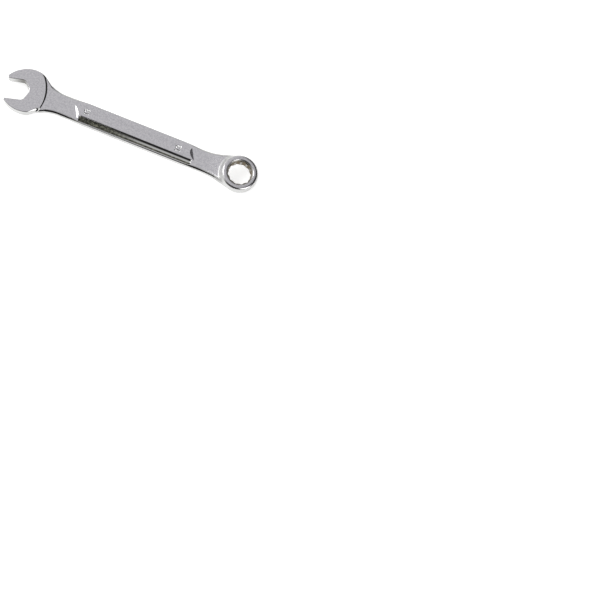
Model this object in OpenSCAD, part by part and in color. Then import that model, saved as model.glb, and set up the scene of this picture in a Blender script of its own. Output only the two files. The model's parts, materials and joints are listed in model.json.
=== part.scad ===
/* [Open end] */
// Size across the flats of the nut that both ends take
flats = 13; // [12:0.1:14]
// Radius of the round open-end head
head_r = 14.2; // [13.8:0.1:16]
// Radius of the arcs that draw the head out to the jaws' tips
jaw_arc_r = 18; // [16:0.1:19]
// Thickness of the open-end head
head_t = 5.5; // [5:0.1:7]
// Angle between the jaws' axis and the shank
jaw_angle = 15; // [10:0.5:20]
// Distance from the head's centre forward to the nut's centre
nut_ahead = 6.3; // [5:0.1:6.5]
// Tip radius of the blunt jaw
blunt_tip_r = 1.3; // [0.6:0.1:1.6]
// Tip radius of the slim jaw
slim_tip_r = 0.7; // [0.4:0.1:1.4]

/* [Box end] */
// Greatest outside radius of the ring
ring_r = 11.9; // [11.6:0.1:13]
// Thickness of the ring
ring_t = 7.8; // [7:0.1:9]
// Lean of the ring's face away from the handle
ring_tilt = 7.5; // [0:0.5:10]
// Outside radius of the ring's flat faces
ring_face_r = 11.4; // [10.8:0.1:11.5]
// Radius at which the lead-in chamfer meets the flat face
lead_in_r = 8.2; // [7.9:0.1:9.2]

/* [Shank] */
// Distance between the centre of the head and the centre of the ring
centres = 137.9; // [130:0.1:160]
// Width of the shank
shank_w = 14.2; // [13:0.1:15]
// Thickness of the plain shank
shank_t = 4.3; // [4:0.1:4.8]
// Radius of the blend between the shank and the open-end head
head_blend_r = 26; // [22:0.5:30]
// Radius of the blend between the shank and the ring
ring_blend_r = 55; // [45:1:60]

/* [Raised panel] */
// Length of the raised panel along its middle
panel_len = 72.6; // [60:0.1:76]
// Width of the raised panel
panel_w = 7.0; // [6:0.1:7.6]
// Height of the panel above the plain shank
panel_rise = 0.5; // [0.3:0.05:0.55]
// Slant of the panel's two ends
panel_slant = 30; // [0:1:35]
// Radius of the narrow deep flute along one side of the panel
deep_flute_r = 2.2; // [2:0.1:2.4]
// Depth of the deep flute below the plain shank
deep_flute_depth = 0.85; // [0.5:0.05:0.9]
// Radius of the wide shallow flute along the other side
shallow_flute_r = 6; // [5:0.5:8]
// Depth of the shallow flute below the plain shank
shallow_flute_depth = 0.25; // [0.15:0.05:0.35]

/* [Hidden] */
$fn = 96;
steel = "silver";
satin = "lightgray";
mid_z = head_t / 2;

// How far cutting shapes run past what they cut
cut_past = 20;
corner_past = 2;

// Ring: it rests on the lower edge of its free end, level with the head's underside
ring_z = ring_t / 2 * cos(ring_tilt) + ring_face_r * sin(ring_tilt);
ring_wall_half = 2.2;
notch_r = flats / 2 / cos(30);
lead_in_depth = lead_in_r - notch_r;

// Jaws, seen along their own axis; each outer arc is centred a little beyond the axis
arc_shift = jaw_arc_r - head_r;
tip_reach = sqrt(pow(jaw_arc_r - blunt_tip_r, 2) - pow(flats / 2 + blunt_tip_r + arc_shift, 2));
hex_corner = flats / 2 * tan(30);
throat_r = 4.5;
throat_reach = notch_r - throat_r / cos(30);
step_r = 24;
step_reach = 11;

// The origin is midway between the jaw tip and the far side of the ring
tip_x = tip_reach * cos(jaw_angle) + (flats / 2 + blunt_tip_r) * sin(jaw_angle) + blunt_tip_r;
ring_far = max(ring_wall_half * sin(ring_tilt) + ring_r * cos(ring_tilt),
               ring_t / 2 * sin(ring_tilt) + ring_face_r * cos(ring_tilt));
head_x = -(centres + ring_far - tip_x) / 2;
ring_x = head_x + centres;

// Shank: places where the blends begin, and the distance from each disc's centre to where they end on it
head_blend_x = head_x + blend_run(head_r, head_blend_r);
ring_blend_x = ring_x - blend_run(ring_r, ring_blend_r);
head_join = blend_end(head_r, head_blend_r);
ring_join = blend_end(ring_r, ring_blend_r);
join_inset = 0.5;

// Share of the ring's lift that the neck's lower and upper faces have gained where they meet the ring
low_lift = 0.75;
high_lift = 1.1;

// Panel's middle, and the flutes beside it
panel_x = head_x + 69.5;
flute_len = panel_len + 0.2;
flute_shift = 2.1;
deep_flute_y = 4.4;
shallow_flute_y = 5.2;

// Length of the blend that sweeps the shank out into a disc
function blend_run(disc_r, blend_r) = sqrt(pow(disc_r + blend_r, 2) - pow(shank_w / 2 + blend_r, 2));

// Where that blend ends on the disc, along and across the shank from the disc's centre
function blend_end(disc_r, blend_r) =
    [blend_run(disc_r, blend_r), shank_w / 2 + blend_r] * disc_r / (disc_r + blend_r);

// Places whatever follows in the jaws' own frame, on the head's centre
module at_jaws() {
    translate([head_x, 0, 0]) rotate([0, 0, jaw_angle]) children();
}

// Places whatever follows in the ring's own frame, on the ring's centre
module at_ring() {
    translate([ring_x, 0, ring_z]) rotate([0, ring_tilt, 0]) children();
}

// Corner material that a tip radius takes off one jaw; side is 1 or -1
module tip_corner(side, tip_r) {
    reach = sqrt(pow(jaw_arc_r - tip_r, 2) - pow(flats / 2 + tip_r + arc_shift, 2));
    centre = [-reach, side * (flats / 2 + tip_r)];
    arc_centre = [0, -side * arc_shift];
    rim = arc_centre + (centre - arc_centre) * jaw_arc_r / (jaw_arc_r - tip_r);
    difference() {
        polygon([[-reach, side * flats / 2], [-head_r - corner_past, side * (flats / 2 - corner_past / 2)],
                 rim * (1 + corner_past / jaw_arc_r), rim]);
        translate(centre) circle(tip_r);
    }
}

// Jaw opening: two parallel flats and a hexagonal throat with a rounded middle
module jaw_opening() {
    translate([-nut_ahead, 0]) {
        translate([-cut_past, -flats / 2]) square([cut_past + hex_corner, flats]);
        difference() {
            circle(notch_r, $fn = 6);
            translate([throat_reach + throat_r * cos(30), -flats / 2]) square([flats, flats]);
        }
        translate([throat_reach, 0]) circle(throat_r);
    }
}

// Disc whose edge is the step where the head's face drops to the neck
module step_disc() {
    translate([step_reach - step_r, 0]) circle(step_r, $fn = 180);
}

// Concave edges that blend the shank into a disc, as the two circles that they are cut from
module blend_circles(start_x, blend_r) {
    for (side = [-1, 1])
        translate([start_x, side * (shank_w / 2 + blend_r)]) circle(blend_r, $fn = 180);
}

// Parallelogram plan of the raised panel
module panel_plan(width) {
    lean = width / 2 * tan(panel_slant);
    polygon([[-panel_len / 2 - lean, width / 2], [panel_len / 2 - lean, width / 2],
             [panel_len / 2 + lean, -width / 2], [-panel_len / 2 + lean, -width / 2]]);
}

// One hollow flute, cut from the shank's top along the panel; side is 1 or -1
module flute(side, middle_y, radius, depth) {
    translate([-side * flute_shift - flute_len / 2, side * middle_y, mid_z + shank_t / 2 - depth + radius])
        rotate([0, 90, 0]) cylinder(h = flute_len, r = radius);
}

// Head without its opening: a disc behind, drawn out in front by the two jaw arcs
module head_plan() {
    difference() {
        circle(head_r);
        translate([-2 * head_r, -2 * head_r]) square([2 * head_r, 4 * head_r]);
    }
    intersection() {
        translate([0, arc_shift]) circle(jaw_arc_r);
        translate([0, -arc_shift]) circle(jaw_arc_r);
        translate([-2 * head_r, -2 * head_r]) square([2 * head_r, 4 * head_r]);
    }
}

// Round head with the jaws cut in it, as far back as the step
module open_end_head() {
    color(satin) at_jaws() linear_extrude(head_t) difference() {
        intersection() {
            head_plan();
            step_disc();
        }
        jaw_opening();
        tip_corner(1, blunt_tip_r);
        tip_corner(-1, slim_tip_r);
    }
}

// Thinner neck that starts at the step behind the head
module open_end_neck() {
    color(steel) translate([0, 0, mid_z - shank_t / 2]) linear_extrude(shank_t) difference() {
        union() {
            translate([head_x, 0]) circle(head_r);
            translate([head_x + head_join[0], -head_join[1] + join_inset])
                square([head_blend_x - head_x - head_join[0], 2 * (head_join[1] - join_inset)]);
        }
        blend_circles(head_blend_x, head_blend_r);
        at_jaws() step_disc();
    }
}

// Straight shank: the same raised panel and flutes on both faces
module fluted_shank() {
    color(steel) difference() {
        union() {
            translate([head_blend_x, -shank_w / 2, mid_z - shank_t / 2])
                cube([ring_blend_x - head_blend_x, shank_w, shank_t]);
            for (face = [0, 1])
                translate([panel_x, 0, mid_z]) rotate([180 * face, 0, 0])
                    linear_extrude(shank_t / 2 + panel_rise) panel_plan(panel_w);
        }
        for (face = [0, 1])
            translate([panel_x, 0, mid_z]) rotate([180 * face, 0, 0])
                translate([0, 0, -mid_z]) {
                    flute(-1, deep_flute_y, deep_flute_r, deep_flute_depth);
                    flute(1, shallow_flute_y, shallow_flute_r, shallow_flute_depth);
                }
    }
}

// Side view of the ramp that carries the shank up to the leaning ring
module ramp_side() {
    low = mid_z - shank_t / 2;
    high = mid_z + shank_t / 2;
    end_x = ring_x - ring_join[0];
    rise = ring_z - mid_z;
    polygon([[ring_blend_x, low], [end_x, low + rise * low_lift],
             [end_x, high + rise * high_lift], [ring_blend_x, high]]);
}

// Neck that rises to the ring and ends on the ring's outer wall
module box_end_neck() {
    half_width = ring_join[1] - join_inset;
    color(steel) difference() {
        intersection() {
            linear_extrude(2 * ring_z) difference() {
                translate([ring_blend_x, -half_width])
                    square([ring_x - ring_join[0] - ring_blend_x, 2 * half_width]);
                blend_circles(ring_blend_x, ring_blend_r);
            }
            translate([0, ring_r, 0]) rotate([90, 0, 0]) linear_extrude(2 * ring_r) ramp_side();
        }
        at_ring() ring_blank();
    }
}

// The ring before its socket is cut
module ring_blank() {
    half = ring_t / 2;
    rotate_extrude() polygon([[0, -half], [ring_face_r, -half], [ring_r, -ring_wall_half],
                              [ring_r, ring_wall_half], [ring_face_r, half], [0, half]]);
}

// Ring with a twelve-point socket: two hexagons a twelfth of a turn apart, led in by a cone at each end
module box_end_ring() {
    color(satin) at_ring() difference() {
        ring_blank();
        for (turn = [0, 30]) rotate(turn) cylinder(h = 2 * ring_t, r = notch_r, center = true, $fn = 6);
        for (face = [0, 180]) rotate([face, 0, 0]) translate([0, 0, ring_t / 2 - lead_in_depth])
            cylinder(h = 2 * lead_in_depth, r1 = notch_r, r2 = notch_r + 2 * lead_in_depth);
    }
}

open_end_head();
open_end_neck();
fluted_shank();
box_end_neck();
box_end_ring();
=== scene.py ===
"""Combination wrench, 13 mm: one chrome-plated drop forging, satin on its faces and bright on its walls.

The forging's surface is written once, as a signed distance field in millimetres, with its fillets, rounded
edges, flutes and socket in place. It is meshed by surface nets, settled onto the field, and cut into three
pieces along flat sections of the straight shank.
"""
import json
import math
import bpy
import numpy as np
from mathutils import Matrix, Vector


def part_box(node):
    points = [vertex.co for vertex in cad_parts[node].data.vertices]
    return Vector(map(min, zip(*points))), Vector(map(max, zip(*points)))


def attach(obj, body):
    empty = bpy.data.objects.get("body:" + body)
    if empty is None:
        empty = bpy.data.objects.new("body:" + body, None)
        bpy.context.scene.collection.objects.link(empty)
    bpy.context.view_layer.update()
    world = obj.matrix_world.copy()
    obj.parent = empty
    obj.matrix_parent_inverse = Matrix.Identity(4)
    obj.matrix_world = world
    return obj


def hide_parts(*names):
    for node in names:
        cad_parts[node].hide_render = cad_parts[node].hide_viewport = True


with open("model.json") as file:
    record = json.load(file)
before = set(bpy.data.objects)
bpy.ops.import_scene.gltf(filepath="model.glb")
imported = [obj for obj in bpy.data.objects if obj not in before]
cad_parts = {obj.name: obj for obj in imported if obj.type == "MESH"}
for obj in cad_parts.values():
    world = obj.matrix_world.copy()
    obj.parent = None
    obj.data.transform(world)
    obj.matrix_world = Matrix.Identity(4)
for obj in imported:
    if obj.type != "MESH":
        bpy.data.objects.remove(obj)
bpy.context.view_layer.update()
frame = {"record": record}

# ---------------------------------------------------------------- sizes, in millimetres

MM = 0.001


def mount(name):
    """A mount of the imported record."""
    return next(m for m in frame["record"]["mounts"] if m["name"] == name)


def span(node):
    """A node's lowest and highest corners, in millimetres."""
    low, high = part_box(node)
    return np.array(low) / MM, np.array(high) / MM


HEAD_LOW, HEAD_HIGH = span("open_end_head")
SHANK_LOW, SHANK_HIGH = span("fluted_shank")
RING_LOW, RING_HIGH = span("box_end_ring")
NECK_LOW, NECK_HIGH = span("open_end_neck")

# Open end; along is measured back from the head's centre, and across is negative on the near side
NUT = np.array(mount("jaw_opening")["pos_m"]) / MM
JAW_WAY = np.array(mount("jaw_flat_slim")["axis"])  # from one flat to the other
JAW_COS, JAW_SIN = JAW_WAY[1], -JAW_WAY[0]
HALF_FLATS = 6.5
NUT_AHEAD = 6.3  # of the head's centre
HEAD_X = NUT[0] + NUT_AHEAD * JAW_COS
HEAD_R, JAW_ARC_R = 14.2, 18.0
BLUNT_TIP, SLIM_TIP, TIPS_ALONG = 1.3, 0.7, -6.0
THROAT_R, THROAT_CORNER = 4.5, 1.2
STEP_R, STEP_REACH, STEP_RUN = 24.0, 11.0, 1.2  # the step behind the head: its arc, place and slope's length
STEEPER, STEEPER_ACROSS = 0.5, (0, -9)  # towards the near side
GENTLER, GENTLER_ACROSS = 2.0, (9.5, 12.5)  # at the far side
CORNER_GAIN, CORNER_AT, CORNER_WIDE = 2.7, 1.0, 2.2  # extra edge radius where the step meets the near wall

# Heights
MID_Z = HEAD_HIGH[2] / 2
HALF_HEAD = HEAD_HIGH[2] / 2
HALF_SHANK = (NECK_HIGH[2] - NECK_LOW[2]) / 2
PANEL_RISE = (SHANK_HIGH[2] - SHANK_LOW[2]) / 2 - HALF_SHANK

# Shank and its blends
HALF_WIDTH = (SHANK_HIGH[1] - SHANK_LOW[1]) / 2
HEAD_BLEND_R, RING_BLEND_R = 26.0, 55.0
HEAD_SEAM_X, RING_SEAM_X = SHANK_LOW[0], SHANK_HIGH[0]
PANEL_X = HEAD_X + 69.5
PANEL_HALF = 36.3
PANEL_SLANT = math.radians(30)
LEFT_FACET, RIGHT_FACET = 0.42, 0.27  # slopes of the panel's ends
LEFT_FOOT, RIGHT_FOOT = 1.6, 2.0  # how far past the ends the slopes reach the shank's face
CROWN_HALF, CROWN_DRIFT = 3.8, 0.026
DEEP_R, DEEP_Y, DEEP_BOTTOM = 2.2, 4.4, 0.85
SHALLOW_R, SHALLOW_Y, SHALLOW_BOTTOM = 6.0, 5.2, 0.25
SHALLOW_FADE, SHALLOW_RISE = 6.0, 0.08  # how far from its end the shallow flute runs out, and how steeply
FLUTE_SHIFT, FLUTE_PAST = 2.1, 0.1

# Ring
RING_X, _, RING_Z = np.array(mount("twelve_point_socket")["pos_m"]) / MM
TILT_SIN, _, TILT_COS = mount("twelve_point_socket")["axis"]
RING_R = (RING_HIGH[1] - RING_LOW[1]) / 2
RING_FACE_R, HALF_RING, RING_WALL = 11.4, 3.9, 2.2
LEAD_IN_R = 8.2
NOTCH_CUT = 0.12
RAMP_LIFT, RAMP_GAIN, RAMP_START = 0.93, 0.45, 0.35  # the neck's share of the lift, thickening, soft start

# The ring neck's end, which shrinks out of sight inside the ring; places are along x from the ring's centre
NECK_END = -1.5
NECK_NARROWER, NARROWS_ALONG = 2.2, (-6, -2)
NECK_THINNER, THINS_ALONG = 0.55, (-9.5, -5)
RING_PLAN_INSET = 0.3

# Roundings
HEAD_EDGE, SHANK_EDGE, PANEL_EDGE, FLUTE_EDGE, JAW_EDGE, RING_EDGE = 0.45, 2.3, 1.0, 0.2, 0.4, 2.1
SHALLOW_EDGE, FLUTE_END_EDGE, BULGE_EDGE, LEAD_IN_EDGE, SOCKET_EDGE = 0.4, 0.6, 2.0, 0.18, 0.1
RING_FILLET = 2.0
HEAD_EDGE_FADE = (0, -4)  # from the step
PANEL_EDGE_FADE = (-5, 7)  # from the panel's end

# Size digits, stamped near each end of the panel and read with the open end upwards
DIGIT_X = (RING_X - 99.8, RING_X - 40.2)
DIGIT_Y, DIGIT_TALL, DIGIT_WIDE, DIGIT_GAP = 0.8, 3.0, 1.5, 0.7
STROKE, STAMP_DEPTH, STAMP_REACH = 0.45, 0.32, 3.0
FLAG_WAY, FLAG_LONG, STEM_SHIFT = 0.7, 0.8, 0.4  # the 1: its flag's direction and length, its stem's place
TAIL_BACK, TAIL_UP, BOWL_OPEN = 0.9, 0.45, 0.05  # the 3: where its bowls stop

# Where each mark on the surface starts and is whole, mostly as limits for fade()
FACE_LEVEL, RING_LEVEL = (0.93, 0.955), (0.80, 0.88)
FLUTE_SUNK = (HALF_SHANK - 0.05, HALF_SHANK - 0.17)
FLUTE_SIDES, FLUTE_ENDS = (-6.75, -2.8), 3.0
ROUGH_ALONG = (13, -17)
# painted shade on the near flute's outer wall: where it starts and is whole, across the face
OUTER_LOW, OUTER_HIGH = (-5.9, -5.7), (-4.5, -4.7)
BORE_R = (LEAD_IN_R + 0.2, LEAD_IN_R - 0.6)
NOTCH_LOW, NOTCH_HIGH, NOTCH_ENDS = (6.75, 7.05), (7.7, 7.5), 0.9
JUNCTION_LOW, JUNCTION_HIGH = (LEAD_IN_R + 0.6, LEAD_IN_R + 1.0), (16, 14)
JUNCTION_BACK, JUNCTION_LEAST = (-6, -9), 0.35
# painted shade on the jaws' inner walls: none at the tips, whole towards the throat
JAW_ALONG = (-11, -3)
STAMP_BRIGHT = (0.1 * STROKE, 1.1 * STROKE)
RING_MARKS_R = RING_R + 0.5
BY_A_JAW, UPRIGHT, FACING = 0.2, 0.7, 0.5


# ---------------------------------------------------------------- the field

def smooth(t):
    """0 below 0, 1 above 1, and an even curve between."""
    t = np.clip(t, 0, 1)
    return t * t * (3 - 2 * t)


def fade(value, start, end):
    """0 at start, 1 at end, and an even curve between; start may be the greater."""
    return smooth((value - start) / (end - start))


def both(a, b, r):
    """What is inside both a and b, with the edge between them rounded to r."""
    return np.minimum(-r, np.maximum(a, b)) + np.hypot(np.maximum(a + r, 0), np.maximum(b + r, 0))


def either(a, b, r):
    """What is inside a or b, with a fillet of r in the corner between them."""
    return np.maximum(r, np.minimum(a, b)) - np.hypot(np.maximum(r - a, 0), np.maximum(r - b, 0))


def jaw_frame(x, y):
    """Distance back along the jaws' axis from the head's centre, and across it."""
    x = x - HEAD_X
    return x * JAW_COS + y * JAW_SIN, y * JAW_COS - x * JAW_SIN


def head_disc(along, across):
    """Plan of the head before its opening: a disc behind, and two wider arcs to the tips in front."""
    return np.where(
        along < 0,
        np.hypot(along, np.abs(across) + JAW_ARC_R - HEAD_R) - JAW_ARC_R,
        np.hypot(along, across) - HEAD_R,
    )


def swept_edge(x, y, disc, disc_x, disc_r, blend_r, way):
    """Plan of half the shank swept out into a disc by a tangent arc; way is the disc's side of the shank."""
    y = np.abs(y)
    run = math.sqrt((disc_r + blend_r) ** 2 - (HALF_WIDTH + blend_r) ** 2)
    from_disc = (disc_x - x) * way
    to_arc = np.hypot(from_disc - run, y - HALF_WIDTH - blend_r)
    on_arc = (from_disc < run) & ((HALF_WIDTH + blend_r) * from_disc > run * y)
    edge = np.where(on_arc, blend_r - to_arc, disc)
    return np.where(from_disc >= run, y - HALF_WIDTH, edge)


def stamped(x, y):
    """Distance from the strokes of a 1 and a 3 that stand at the origin with their tops towards -x."""
    up, right = -x, y
    stem_at = -DIGIT_GAP / 2 - DIGIT_WIDE * STEM_SHIFT
    stem = np.hypot(right - stem_at, np.maximum(np.abs(up) - DIGIT_TALL / 2, 0))
    flag_along = np.clip((stem_at - right) * FLAG_WAY + (DIGIT_TALL / 2 - up) * FLAG_WAY, 0, FLAG_LONG)
    flag = np.hypot(right - stem_at + FLAG_WAY * flag_along, up - DIGIT_TALL / 2 + FLAG_WAY * flag_along)
    bowl = DIGIT_TALL / 4
    best = np.minimum(stem, flag)
    for way in (1, -1):
        off_right, off_up = right - DIGIT_GAP / 2 - DIGIT_WIDE / 2, (up - way * bowl) * way
        ring = np.abs(np.hypot(off_right, off_up) - bowl)
        tail = np.hypot(off_right + bowl * TAIL_BACK, off_up - bowl * TAIL_UP)
        waist = np.hypot(off_right, off_up + bowl)
        open_side = (off_right < -BOWL_OPEN) & (off_up < bowl * TAIL_UP)
        best = np.minimum(best, np.where(open_side, np.minimum(tail, waist), ring))
    return best


def face_height(x, side, y):
    """Height of the forging's face above its middle plane before the flutes are cut, and its edge's radius.

    side is y as it is seen on this face, which is turned over on the underside.
    """
    along, across = jaw_frame(x, y)
    step = STEP_R - np.hypot(along - STEP_REACH + STEP_R, across)
    run = STEP_RUN * (1 - STEEPER * fade(across, *STEEPER_ACROSS) + GENTLER * fade(across, *GENTLER_ACROSS))
    height = HALF_SHANK + RAMP_GAIN * ramp(x) + (HALF_HEAD - HALF_SHANK) * fade(step, -run / 2, run / 2)
    crown = PANEL_RISE * (1 - ((side - CROWN_DRIFT * (x - PANEL_X)) / CROWN_HALF) ** 2)
    off_end = np.abs(x - PANEL_X + side * math.tan(PANEL_SLANT)) - PANEL_HALF
    past_end = off_end * math.cos(PANEL_SLANT)
    left, right = LEFT_FACET * (LEFT_FOOT - past_end), RIGHT_FACET * (RIGHT_FOOT - past_end)
    facet = np.where(x < PANEL_X, left, right)
    height = height + np.maximum(np.minimum(crown, facet), 0)
    for place in DIGIT_X:
        near = (np.abs(x - place) < STAMP_REACH) & (np.abs(side - DIGIT_Y) < STAMP_REACH)
        cut = STAMP_DEPTH * (1 - smooth(stamped(x - place, side - DIGIT_Y) / STROKE))
        height = height - np.where(near, cut, 0)
    past_panel = fade(np.abs(x - PANEL_X) - PANEL_HALF, *PANEL_EDGE_FADE)
    shank_edge = PANEL_EDGE + (SHANK_EDGE - PANEL_EDGE) * past_panel
    edge = HEAD_EDGE + (shank_edge - HEAD_EDGE) * fade(step, *HEAD_EDGE_FADE)
    corner = CORNER_GAIN * np.exp(-((step - CORNER_AT) / CORNER_WIDE) ** 2) * (across < 0)
    return height, edge + corner


def ramp(x):
    """0 on the level shank, rising evenly after a soft start to 1 where the neck meets the ring."""
    t = np.clip((x - RING_SEAM_X) / (RING_X - RING_R / 2 - RING_SEAM_X), 0, 1)
    return np.where(t < RAMP_START, t * t / (2 * RAMP_START), t - RAMP_START / 2) / (1 - RAMP_START / 2)


def shank_field(x, y, z):
    """Head, necks and shank, with no opening in them."""
    near_head = swept_edge(x, y, head_disc(*jaw_frame(x, y)), HEAD_X, HEAD_R, HEAD_BLEND_R, -1)
    ring_disc = np.hypot(x - RING_X, y) - RING_R + RING_PLAN_INSET
    near_ring = swept_edge(x, y, ring_disc, RING_X, RING_R, RING_BLEND_R, 1)
    plan = np.where(x < 0, near_head, near_ring)
    up = z - MID_Z - (RING_Z - MID_Z) * RAMP_LIFT * ramp(x)
    side = y * np.sign(up)
    height, edge = face_height(x, side, y)
    plan = plan + NECK_NARROWER * fade(x - RING_X, *NARROWS_ALONG)
    height = height * (1 - NECK_THINNER * fade(x - RING_X, *THINS_ALONG))
    body = both(plan, np.abs(up) - height, edge)
    body = np.maximum(body, x - RING_X - NECK_END)
    along = np.abs(x - PANEL_X + FLUTE_SHIFT * np.sign(side)) - PANEL_HALF - FLUTE_PAST
    deep = np.hypot(side + DEEP_Y, np.abs(up) - HALF_SHANK + DEEP_BOTTOM - DEEP_R) - DEEP_R
    shallow = np.hypot(side - SHALLOW_Y, np.abs(up) - HALF_SHANK + SHALLOW_BOTTOM - SHALLOW_R) - SHALLOW_R
    run_out = SHALLOW_RISE * np.maximum(along + SHALLOW_FADE, 0)
    body = both(body, -shallow - run_out, SHALLOW_EDGE)
    return both(body, -both(deep, along, FLUTE_END_EDGE), FLUTE_EDGE)


def jaw_field(x, y):
    """Plan of the opening between the jaws: two flats and a hexagonal throat with a rounded middle."""
    along, across = jaw_frame(x, y)
    along = along + NUT_AHEAD
    side = np.abs(across)
    flats = side - HALF_FLATS
    throat = along * math.cos(math.pi / 6) + side / 2 - HALF_FLATS
    middle = HALF_FLATS / math.cos(math.pi / 6) - THROAT_R / math.cos(math.pi / 6)
    rounded = np.hypot(along - middle, across) - THROAT_R
    in_wedge = (along - middle) * math.sin(math.pi / 6) > side * math.cos(math.pi / 6)
    throat = np.where(in_wedge, rounded, throat)
    return both(flats, throat, THROAT_CORNER)


def tip_field(x, y):
    """Plan of the head in front of its centre, whose two jaw tips are rounded to different radii."""
    along, across = jaw_frame(x, y)
    side = np.abs(across)
    tip_r = np.where(across > 0, BLUNT_TIP, SLIM_TIP)
    shift = JAW_ARC_R - HEAD_R
    reach = np.sqrt((JAW_ARC_R - tip_r) ** 2 - (HALF_FLATS + tip_r + shift) ** 2)
    dx, dy = along + reach, side - HALF_FLATS - tip_r
    past_rim = dx * (HALF_FLATS + tip_r + shift) + dy * reach < 0
    in_tip = (dx < 0) & past_rim
    return np.where(in_tip, np.hypot(dx, dy) - tip_r, head_disc(along, across))


def ring_frame(x, z):
    """The ring's own axes: across it towards its free end, and along its leaning axis."""
    x, z = x - RING_X, z - RING_Z
    return x * TILT_COS - z * TILT_SIN, x * TILT_SIN + z * TILT_COS


def star(x, y):
    """Plan of the twelve-point socket: two hexagons a twelfth of a turn apart."""
    turn = np.arctan2(y, x)
    radius = np.hypot(x, y)
    hexagons = []
    for start in (0, math.pi / 6):
        from_flat = (turn - start) % (math.pi / 3) - math.pi / 6
        hexagons.append(radius * np.cos(from_flat) - HALF_FLATS)
    notch_tip = radius - HALF_FLATS / math.cos(math.pi / 6) + NOTCH_CUT
    return np.maximum(np.minimum(*hexagons), notch_tip)


def ring_blank(across, y, along):
    """The ring with no socket: a flat-faced disc whose wall bulges."""
    radius = np.hypot(across, y)
    height = np.abs(along)
    taper = math.atan2(RING_R - RING_FACE_R, HALF_RING - RING_WALL)
    bulge = (radius - RING_R) * math.cos(taper) + (height - RING_WALL) * math.sin(taper)
    wall = both(radius - RING_R, bulge, BULGE_EDGE)
    return both(wall, height - HALF_RING, RING_EDGE)


def field(x, y, z):
    """Signed distance, about, from the whole wrench's surface: negative inside the steel."""
    solid = shank_field(x, y, z)
    # open end: round the tips, then cut the opening
    near_jaws = jaw_frame(x, y)[0] < TIPS_ALONG
    height = np.abs(z - MID_Z) - HALF_HEAD
    solid = np.where(near_jaws, np.maximum(solid, both(tip_field(x, y), height, HEAD_EDGE)), solid)
    solid = both(solid, -jaw_field(x, y), JAW_EDGE)
    # box end: blend in the ring, then cut the lead-in cones and the socket
    across, along = ring_frame(x, z)
    with_ring = either(solid, ring_blank(across, y, along), RING_FILLET)
    solid = np.where(x > RING_SEAM_X, with_ring, solid)
    radius = np.hypot(across, y)
    cone = (radius - LEAD_IN_R + (HALF_RING - np.abs(along))) * math.sqrt(0.5)
    solid = both(solid, -cone, LEAD_IN_EDGE)
    return both(solid, -star(across, y), SOCKET_EDGE)


# ---------------------------------------------------------------- meshing

CELL = 0.16
SLAB = 48  # columns of cells that are worked out at once
EVENING, STRIDE, LEAST_SLOPE = 0.5, 0.6, 0.2  # limits on how points move as they settle


def grid_axes():
    """Grid lines a cell apart that cover the wrench with two cells to spare."""
    low = np.minimum(np.minimum(HEAD_LOW, RING_LOW), SHANK_LOW) - 2 * CELL
    high = np.maximum(np.maximum(HEAD_HIGH, RING_HIGH), SHANK_HIGH) + 2 * CELL
    return [np.arange(a, b + CELL, CELL) for a, b in zip(low, high)]


def sample(xs, ys, zs):
    """The field on the grid, slab by slab."""
    out = np.empty((len(xs), len(ys), len(zs)))
    for start in range(0, len(xs), SLAB):
        part = xs[start:start + SLAB]
        out[start:start + SLAB] = field(part[:, None, None], ys[None, :, None], zs[None, None, :])
    return out


def surface_net(xs, ys, zs):
    """One vertex in each cell that the surface crosses, and one quad across each grid edge it crosses."""
    values = sample(xs, ys, zs)
    inside = values < 0
    nx, ny, nz = np.array(inside.shape) - 1
    count = sum(
        inside[i:nx + i, j:ny + j, k:nz + k].astype(np.int8)
        for i in (0, 1) for j in (0, 1) for k in (0, 1)
    )
    cells = np.argwhere((count > 0) & (count < 8))
    number = np.full(count.shape, -1, np.int32)
    number[tuple(cells.T)] = np.arange(len(cells))

    total = np.zeros((len(cells), 3))
    hits = np.zeros(len(cells))
    for axis in range(3):
        for u in (0, 1):
            for v in (0, 1):
                near = np.insert(np.array([u, v]), axis, 0)
                far = near.copy()
                far[axis] = 1
                a = values[tuple((cells + near).T)]
                b = values[tuple((cells + far).T)]
                crossed = (a < 0) != (b < 0)
                share = np.where(crossed, a / np.where(crossed, a - b, 1), 0)
                point = np.repeat(near[None, :].astype(float), len(cells), 0)
                point[:, axis] = share
                total += point * crossed[:, None]
                hits += crossed
    points = (cells + total / hits[:, None]) * CELL + np.array([xs[0], ys[0], zs[0]])

    quads = []
    for axis in range(3):
        low = [slice(None)] * 3
        high = [slice(None)] * 3
        low[axis], high[axis] = slice(0, -1), slice(1, None)
        a, b = inside[tuple(low)], inside[tuple(high)]
        for flip in (False, True):
            edges = np.argwhere((a & ~b) if not flip else (~a & b))
            u, v = np.eye(3, dtype=int)[(axis + 1) % 3], np.eye(3, dtype=int)[(axis + 2) % 3]
            ring = [edges, edges - u, edges - u - v, edges - v]
            quad = np.stack([number[tuple(c.T)] for c in ring], 1)
            quads.append(quad[:, ::-1] if flip else quad)
    return points, np.concatenate(quads), cells


def slope(points):
    """The field and its gradient at some points."""
    step = 0.01
    here = field(*points.T)
    grad = np.empty_like(points)
    for axis in range(3):
        shift = np.zeros(3)
        shift[axis] = step
        grad[:, axis] = (field(*(points + shift).T) - field(*(points - shift).T)) / (2 * step)
    return here, grad


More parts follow.
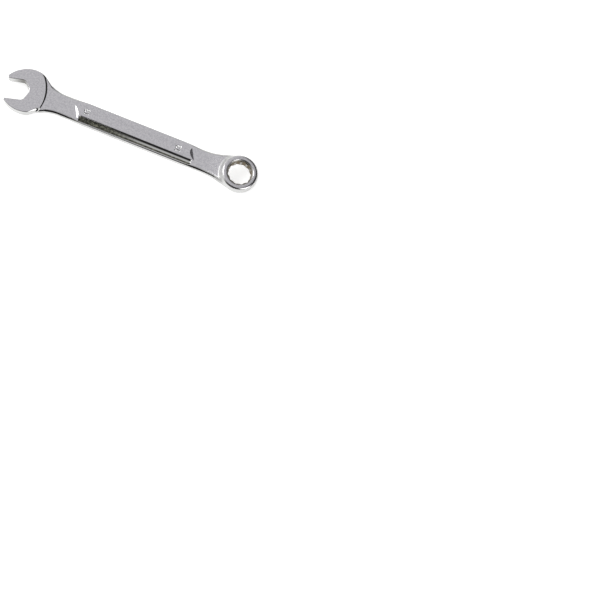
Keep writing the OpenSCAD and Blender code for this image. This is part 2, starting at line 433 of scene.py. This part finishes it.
def settle(points, quads, held, rounds=4, last_pulls=3):
    """Evens out the net and pulls it onto the surface; held points keep their x."""
    points = points.copy()
    a = np.concatenate([quads[:, i] for i in range(4)])
    b = np.concatenate([quads[:, (i + 1) % 4] for i in range(4)])
    ends, others = np.concatenate([a, b]), np.concatenate([b, a])
    degree = np.bincount(ends, minlength=len(points))
    held_x = points[held, 0].copy()
    for turn in range(rounds):
        mean = np.stack([np.bincount(ends, points[others, i], len(points)) / degree for i in range(3)], 1)
        if turn < rounds - 1:
            points += EVENING * (mean - points)
        for _ in range(last_pulls if turn == rounds - 1 else 1):
            points[held, 0] = held_x
            here, grad = slope(points)
            grad[held, 0] = 0
            size = np.maximum((grad ** 2).sum(1), LEAST_SLOPE)
            move = grad * (here / size)[:, None]
            reach = np.linalg.norm(move, axis=1)
            points -= move * (STRIDE * CELL / np.maximum(reach, STRIDE * CELL))[:, None]
    points[held, 0] = held_x
    return points


def closed_loop(quads, mask):
    """The closed ring of boundary edges whose two ends are both in mask, in order."""
    edges = np.concatenate([quads[:, [i, (i + 1) % 4]] for i in range(4)])
    edges = edges[mask[edges].all(1)]
    key = np.sort(edges, 1)
    _, where, times = np.unique(key, axis=0, return_index=True, return_counts=True)
    edges = edges[where[times == 1]]
    follow = dict(zip(edges[:, 1].tolist(), edges[:, 0].tolist()))
    start = next(iter(follow))
    loop = [start]
    while follow[loop[-1]] != start:
        loop.append(follow[loop[-1]])
    return loop


def build_meshes():
    """Points, normals, quads and end caps of each of the three pieces, which share their seams' points."""
    xs, ys, zs = grid_axes()
    points, quads, cells = surface_net(xs, ys, zs)
    # the columns of cells nearest the seams, whose points are held in one flat section each
    seams = [int(round((x - xs[0]) / CELL - 0.5)) for x in (HEAD_SEAM_X, RING_SEAM_X)]
    held = np.isin(cells[:, 0], seams)
    points[held, 0] = xs[0] + (cells[held, 0] + 0.5) * CELL
    points = settle(points, quads, held)
    _, grad = slope(points)
    normals = grad / np.linalg.norm(grad, axis=1)[:, None]
    column = cells[:, 0][quads]
    made = []
    bounds = [-1] + seams + [len(xs)]
    for low, high in zip(bounds[:-1], bounds[1:]):
        part = quads[(column >= low).all(1) & (column <= high).all(1)]
        caps = [closed_loop(part, cells[:, 0] == seam) for seam in (low, high) if seam in seams]
        used = np.unique(part)
        renumber = np.full(len(points), -1)
        renumber[used] = np.arange(len(used))
        made.append((points[used], normals[used], renumber[part], [renumber[c] for c in caps]))
    return made


# ---------------------------------------------------------------- marks on the surface, for the materials

def marks(points, normals):
    """How far each kind of surface, painted shade or painted highlight is present at each point, from 0 to 1.
    """
    x, y, z = points.T
    across, along = ring_frame(x, z)
    radius = np.hypot(across, y)
    level = np.abs(normals[:, 2])
    ring_level = np.abs(normals[:, 0] * TILT_SIN + normals[:, 2] * TILT_COS)
    flat = np.where(radius < RING_MARKS_R, fade(ring_level, *RING_LEVEL), fade(level, *FACE_LEVEL))
    side = y * np.sign(z - MID_Z)
    sunk = fade(np.abs(z - MID_Z), *FLUTE_SUNK) * (np.abs(x - PANEL_X) < PANEL_HALF + FLUTE_ENDS)
    deep = sunk * (side > FLUTE_SIDES[0]) * (side < FLUTE_SIDES[1])
    rough_end = fade(x - PANEL_X, *ROUGH_ALONG)
    outer = fade(side, *OUTER_LOW) * fade(side, *OUTER_HIGH)
    # painted highlight in the stamped digits' strokes
    stamp = np.zeros(len(x))
    for place in DIGIT_X:
        stamp = np.maximum(stamp, 1 - fade(stamped(x - place, side - DIGIT_Y), *STAMP_BRIGHT))
    in_ring = np.abs(along) < HALF_RING
    in_socket = np.abs(along) < HALF_RING - NOTCH_ENDS
    outside = fade(radius, *JUNCTION_LOW) * fade(radius, *JUNCTION_HIGH)
    back = JUNCTION_LEAST + (1 - JUNCTION_LEAST) * fade(across, *JUNCTION_BACK)
    # painted shade inside the open end: the jaws' inner walls, darkest towards the throat
    on_jaws = (np.abs(jaw_field(x, y)) < BY_A_JAW) * (level < UPRIGHT)
    return {
        "satin": flat * (1 - deep),
        "jaws": on_jaws * fade(jaw_frame(x, y)[0], *JAW_ALONG),
        "bore": fade(radius, *BORE_R) * in_ring,
        "notch": fade(radius, *NOTCH_LOW) * fade(radius, *NOTCH_HIGH) * in_socket,
        "junction": outside * back,
        # painted shade on the near flute: its outer wall and its rougher, pitted left end
        "flute": deep * np.maximum(rough_end, outer),
        "rough_end": deep * rough_end,
        "stamp": stamp * (level > FACING),
    }


def make_piece(name, data, nodes, material):
    """A piece of the forging from its points, quads and end caps."""
    points, normals, quads, caps = data
    mesh = bpy.data.meshes.new(name)
    faces = quads.tolist() + [list(map(int, cap)) for cap in caps]
    mesh.from_pydata((points * MM).tolist(), [], faces)
    mesh.update()
    for label, values in marks(points, normals).items():
        mesh.attributes.new(label, "FLOAT", "POINT").data.foreach_set("value", values.astype(np.float32))
    smooth_faces = np.ones(len(faces), bool)
    smooth_faces[len(quads):] = False
    mesh.polygons.foreach_set("use_smooth", smooth_faces)
    mesh.normals_split_custom_set_from_vertices(normals.tolist())
    mesh.materials.append(material)
    piece = bpy.data.objects.new(name, mesh)
    bpy.context.scene.collection.objects.link(piece)
    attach(piece, "root")
    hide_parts(*nodes)
    return piece


# ---------------------------------------------------------------- materials

def link(tree, a, b):
    """Joins an output socket to an input socket."""
    tree.links.new(a, b)


def math_node(tree, operation, a, b=None, c=None):
    """Arithmetic on sockets or plain numbers; returns the output socket."""
    made = tree.nodes.new("ShaderNodeMath")
    made.operation = operation
    for i, value in enumerate((a, b, c)):
        if value is None:
            continue
        if isinstance(value, (int, float)):
            made.inputs[i].default_value = value
        else:
            link(tree, value, made.inputs[i])
    return made.outputs[0]


def blend_colour(tree, share, a, b):
    """A mix of two colours, each a socket or a plain colour."""
    made = tree.nodes.new("ShaderNodeMix")
    made.data_type = "RGBA"
    for i, value in ((0, share), (6, a), (7, b)):
        if isinstance(value, (int, float)):
            made.inputs[i].default_value = value
        elif isinstance(value, tuple):
            made.inputs[i].default_value = (*value, 1)
        else:
            link(tree, value, made.inputs[i])
    return made.outputs[2]


def noise(tree, scale, stretch=(1, 1, 1), detail=3.0, rough=0.5):
    """Object-space noise; scale is features per metre."""
    place = tree.nodes.new("ShaderNodeTexCoord")
    mapping = tree.nodes.new("ShaderNodeMapping")
    mapping.inputs["Scale"].default_value = stretch
    link(tree, place.outputs["Object"], mapping.inputs["Vector"])
    made = tree.nodes.new("ShaderNodeTexNoise")
    made.inputs["Scale"].default_value = scale
    made.inputs["Detail"].default_value = detail
    made.inputs["Roughness"].default_value = rough
    link(tree, mapping.outputs["Vector"], made.inputs["Vector"])
    return made.outputs["Fac"]


def fade_node(tree, value, start, end, strength=1.0):
    """0 up to start, strength from end on, and an even curve between."""
    made = tree.nodes.new("ShaderNodeMapRange")
    made.interpolation_type = "SMOOTHSTEP"
    made.inputs["From Min"].default_value = start
    made.inputs["From Max"].default_value = end
    made.inputs["To Max"].default_value = strength
    link(tree, value, made.inputs["Value"])
    return made.outputs[0]


def mark(tree, name):
    """A mark stored on the mesh."""
    made = tree.nodes.new("ShaderNodeAttribute")
    made.attribute_name = name
    return made.outputs["Fac"]


def chrome_material():
    """Chrome plate: satin on the faces, bright and slightly wavy elsewhere, rougher and brown in the ring's
    bore and notches; painted shade darkens the jaws' inner walls and the near flute, and a painted highlight
    whitens the stamped digits.
    """
    material = bpy.data.materials.new("chrome_plate")
    material.use_nodes = True
    tree = material.node_tree
    tree.nodes.clear()
    shader = tree.nodes.new("ShaderNodeBsdfPrincipled")
    out = tree.nodes.new("ShaderNodeOutputMaterial")
    link(tree, shader.outputs[0], out.inputs[0])
    shader.inputs["Metallic"].default_value = 1.0
    satin = mark(tree, "satin")

    patches = fade_node(tree, noise(tree, 900, detail=5, rough=0.7), 0.30, 0.70)
    grain = noise(tree, 2600, (0.25, 1, 1), detail=2)
    pits = noise(tree, 900, detail=2)
    waves = noise(tree, 260, detail=1)

    steel = blend_colour(tree, patches, (0.575, 0.563, 0.598), (0.715, 0.703, 0.735))
    bright = blend_colour(tree, waves, (0.54, 0.54, 0.535), (0.64, 0.64, 0.63))
    colour = blend_colour(tree, satin, bright, steel)
    brown = blend_colour(tree, pits, (0.05, 0.03, 0.005), (0.20, 0.15, 0.07))
    # painted shade in the near flute: a dark mottled olive on its outer wall and left end
    mottle = fade_node(tree, noise(tree, 1100, (0.7, 1, 1), detail=4, rough=0.7), 0.44, 0.66)
    painted_flute_shade = blend_colour(tree, mottle, (0.02, 0.02, 0.01), (0.30, 0.30, 0.23))
    # painted highlight: the stamped digits' strokes made near-white
    pale = (0.97, 0.97, 0.97)
    # painted shade for the jaws' inner walls: dark grey, deepest towards the throat
    painted_jaw_shade = blend_colour(tree, pits, (0.05, 0.048, 0.04), (0.20, 0.19, 0.17))
    layers = (("bore", 0.3, brown), ("notch", 0.95, brown), ("flute", 0.93, painted_flute_shade), ("stamp", 1.0, pale),
              ("jaws", 0.85, painted_jaw_shade))
    for name, share, over in layers:
        colour = blend_colour(tree, math_node(tree, "MULTIPLY", mark(tree, name), share), colour, over)
    link(tree, colour, shader.inputs["Base Color"])

    satin_rough = math_node(tree, "MULTIPLY_ADD", grain, 0.08, 0.20)
    bright_rough = math_node(tree, "MULTIPLY_ADD", pits, 0.08, 0.06)
    for name, rougher in (("bore", 0.34), ("junction", 0.40), ("rough_end", 0.40)):
        bright_rough = math_node(tree, "MULTIPLY_ADD", mark(tree, name), rougher, bright_rough)
    spread = math_node(tree, "SUBTRACT", satin_rough, bright_rough)
    link(tree, math_node(tree, "MULTIPLY_ADD", spread, satin, bright_rough), shader.inputs["Roughness"])

    satin_height = math_node(tree, "MULTIPLY", grain, math_node(tree, "MULTIPLY", satin, 0.004))
    wave_height = math_node(tree, "MULTIPLY", waves, 0.03)
    pit_height = math_node(tree, "MULTIPLY", pits, math_node(tree, "MULTIPLY", mark(tree, "flute"), 0.09))
    height = math_node(tree, "ADD", math_node(tree, "ADD", satin_height, wave_height), pit_height)
    bump = tree.nodes.new("ShaderNodeBump")
    bump.inputs["Strength"].default_value = 1.0
    bump.inputs["Distance"].default_value = MM
    link(tree, height, bump.inputs["Height"])
    link(tree, bump.outputs[0], shader.inputs["Normal"])
    return material


# ---------------------------------------------------------------- stage

CAMERA_TURN = math.radians(23.1)
CAMERA_HEIGHT = math.radians(68)
CAMERA_DISTANCE, LENS = 1.979, 200
AIM_RIGHT, AIM_DOWN = 0.0976, 0.0973
RIGHT = Vector((math.cos(CAMERA_TURN), math.sin(CAMERA_TURN), 0))
AWAY = Vector((-math.sin(CAMERA_TURN), math.cos(CAMERA_TURN), 0))
TO_CAMERA = -AWAY * math.cos(CAMERA_HEIGHT) + Vector((0, 0, math.sin(CAMERA_HEIGHT)))
SCREEN_UP = AWAY * math.sin(CAMERA_HEIGHT) + Vector((0, 0, math.cos(CAMERA_HEIGHT)))


def make_camera():
    """A long lens; the wrench lies up and to the left of the middle of the view."""
    data = bpy.data.cameras.new("camera")
    data.lens = LENS
    data.clip_end = 50
    camera = bpy.data.objects.new("camera", data)
    bpy.context.scene.collection.objects.link(camera)
    bpy.context.scene.camera = camera
    middle = Vector(((HEAD_X + RING_X) / 2, 0, MID_Z)) * MM
    camera.location = middle + TO_CAMERA * CAMERA_DISTANCE
    aim = RIGHT * AIM_RIGHT - SCREEN_UP * AIM_DOWN - TO_CAMERA * CAMERA_DISTANCE
    level = Matrix((RIGHT, SCREEN_UP, TO_CAMERA)).transposed()
    camera.rotation_euler = ((-TO_CAMERA).rotation_difference(aim).to_matrix() @ level).to_euler()


def make_floor():
    """A plain pale floor, a hair below the wrench's underside."""
    size = 6.0
    mesh = bpy.data.meshes.new("floor")
    low = -0.02 * MM
    corners = [(-size, -size, low), (size, -size, low), (size, size, low), (-size, size, low)]
    mesh.from_pydata(corners, [], [(0, 1, 2, 3)])
    floor = bpy.data.objects.new("floor", mesh)
    bpy.context.scene.collection.objects.link(floor)
    material = bpy.data.materials.new("pale_floor")
    material.use_nodes = True
    shader = material.node_tree.nodes["Principled BSDF"]
    shader.inputs["Base Color"].default_value = (0.8, 0.8, 0.8, 1)
    shader.inputs["Roughness"].default_value = 0.9
    shader.inputs["Specular IOR Level"].default_value = 0.1
    shader.inputs["Emission Color"].default_value = (1, 1, 1, 1)
    shader.inputs["Emission Strength"].default_value = 0.7
    mesh.materials.append(material)


def studio_world():
    """A studio as a sky: grey overhead, one bright light to the left and one low on the near right.

    The camera itself sees plain white behind the floor.
    """
    world = bpy.data.worlds.new("studio")
    bpy.context.scene.world = world
    world.use_nodes = True
    tree = world.node_tree
    tree.nodes.clear()
    out = tree.nodes.new("ShaderNodeOutputWorld")
    back = tree.nodes.new("ShaderNodeBackground")
    link(tree, back.outputs[0], out.inputs[0])
    place = tree.nodes.new("ShaderNodeTexCoord")
    way = place.outputs["Generated"]

    def along(direction):
        """How far each direction of the sky leans along one."""
        dot = tree.nodes.new("ShaderNodeVectorMath")
        dot.operation = "DOT_PRODUCT"
        link(tree, way, dot.inputs[0])
        dot.inputs[1].default_value = direction
        return dot.outputs["Value"]

    def lobe(direction, start, end, strength):
        """A soft-edged patch of light round a direction, whole within start and gone past end, in degrees."""
        lean = along(direction.normalized())
        return fade_node(tree, lean, math.cos(math.radians(end)), math.cos(math.radians(start)), strength)

    up = Vector((0, 0, 1))
    not_near = fade_node(tree, along(AWAY), -0.50, -0.24)
    not_right = fade_node(tree, along(-RIGHT), -0.45, -0.25)
    darker_left = fade_node(tree, along(-RIGHT), 0.05, 0.30, 0.09)
    overhead = math_node(tree, "SUBTRACT", 0.67, darker_left)
    sky = math_node(tree, "MULTIPLY", math_node(tree, "MULTIPLY", not_near, not_right), overhead)
    left = lobe(-RIGHT * 0.70 + AWAY * 0.36 + up * 0.61, 12, 19, 5.0)
    right_low = lobe(RIGHT * 0.52 - AWAY * 0.72 + up * 0.46, 16, 22, 3.0)
    fill = 0.03
    lights = math_node(tree, "ADD", left, math_node(tree, "ADD", right_low, fill))
    light = math_node(tree, "ADD", sky, lights)
    to_white = math_node(tree, "SUBTRACT", 1.0, light)
    path = tree.nodes.new("ShaderNodeLightPath")
    seen = math_node(tree, "MULTIPLY_ADD", path.outputs["Is Camera Ray"], to_white, light)
    link(tree, seen, back.inputs["Color"])


chrome = chrome_material()
open_end, shank, box_end = build_meshes()
make_piece("open_end", open_end, ["open_end_head", "open_end_neck"], chrome)
make_piece("shank", shank, ["fluted_shank"], chrome)
make_piece("box_end", box_end, ["box_end_neck", "box_end_ring"], chrome)
make_camera()
make_floor()
studio_world()
bpy.context.scene.view_settings.view_transform = "Standard"
